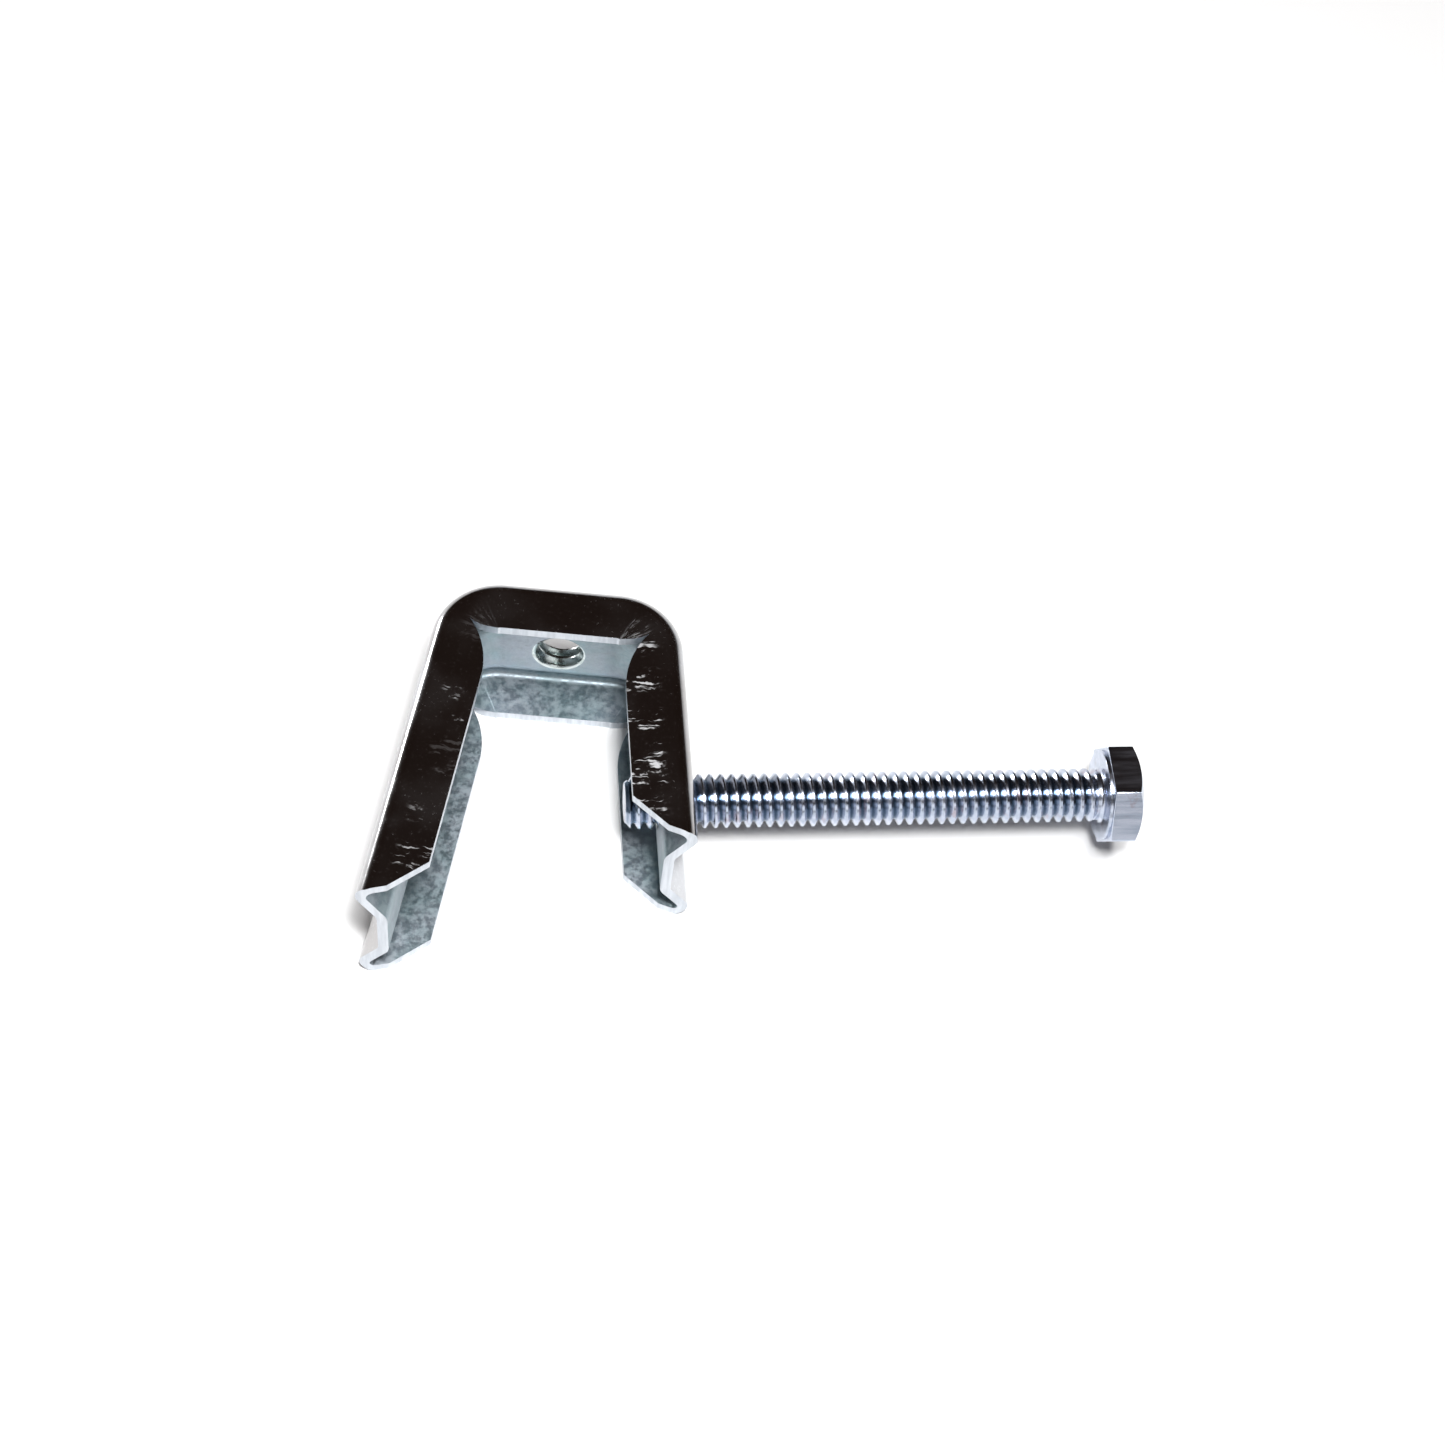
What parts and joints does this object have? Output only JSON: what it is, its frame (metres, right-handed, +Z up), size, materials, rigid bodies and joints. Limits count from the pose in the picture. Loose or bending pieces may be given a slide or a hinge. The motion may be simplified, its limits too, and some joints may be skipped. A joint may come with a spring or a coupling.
{
  "type": "sheet steel screw clamp",
  "caption": "U-shaped clamp of pressed, zinc-plated steel channel with a long threaded hex bolt through its short leg and an empty tapped collar in its web.",
  "frame": {"origin": "on the underside of the short leg's back flange, at the middle of its flat, directly below the bolt's axis", "axes": "+X along the bolt, from its tip to its head; +Y from the mouth of the U to its web; +Z up, square to the plane of the U, from the back flanges to the front flanges"},
  "size_m": [0.0907, 0.0419, 0.019],
  "materials": {
    "sheet_zinc": "bright zinc plate on pressed sheet steel, mottled, with light chatter marks across the flanges",
    "bolt_zinc": "bright blue-white zinc plate on a rolled thread and a forged head"
  },
  "bodies": {
    "frame": {"clamp_frame": "sheet_zinc"},
    "bolt": {"hex_bolt": "bolt_zinc"}
  },
  "joints": [
    {"name": "bolt_travel", "type": "slide", "parent": "frame", "child": "bolt", "axis": [-1, 0, 0], "range_m": [-0.00381, 0.02159]}
  ]
}
